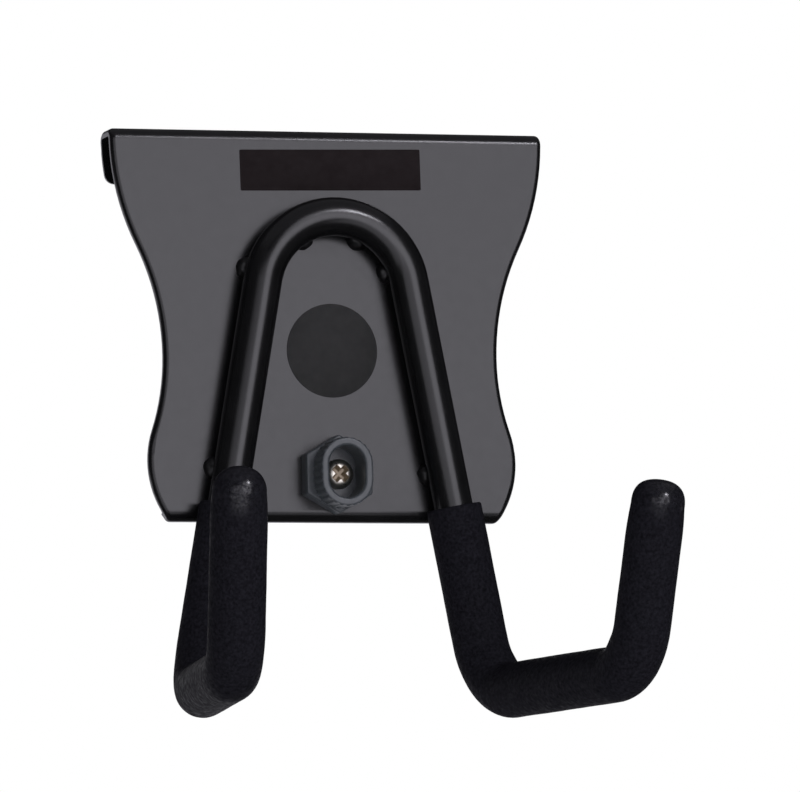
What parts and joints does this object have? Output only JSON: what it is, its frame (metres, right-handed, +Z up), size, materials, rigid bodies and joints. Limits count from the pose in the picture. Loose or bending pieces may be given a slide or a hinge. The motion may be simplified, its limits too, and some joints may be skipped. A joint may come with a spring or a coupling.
{
  "type": "garage utility hook",
  "caption": "Rail-hung garage hook: waisted steel back plate with a top lip, a welded bent-rod double hook with soft foam sleeves, and a quarter-turn knob that locks it to the rail.",
  "frame": {"origin": "middle of the lip's seat, the underside of the plate's top flange, where the hook hangs on the edge of a rail", "axes": "+X to the right as seen from the front, +Y to the back towards the wall, +Z up; the hooks reach forward along -Y"},
  "size_m": [0.1172, 0.11, 0.1456],
  "materials": {
    "plate_coat": "charcoal satin powder coat",
    "rod_coat": "black satin powder coat",
    "sleeve_foam": "fine closed-cell foam, matt black",
    "knob_plastic": "moulded blue-grey, satin",
    "cam_plastic": "moulded black, matt",
    "screw_nickel": "nickel plated"
  },
  "bodies": {
    "bracket": {"back_plate": "plate_coat", "hook_rod": "rod_coat", "sleeve_left": "sleeve_foam", "sleeve_right": "sleeve_foam"},
    "lock": {"lock_knob": "knob_plastic", "lock_cam": "cam_plastic", "lock_screw": "screw_nickel"}
  },
  "joints": [
    {"name": "lock_turn", "type": "hinge", "parent": "bracket", "child": "lock", "pos_m": [0, -0.00425, -0.083], "axis": [0, -1, 0], "range_deg": [0, 90]}
  ]
}
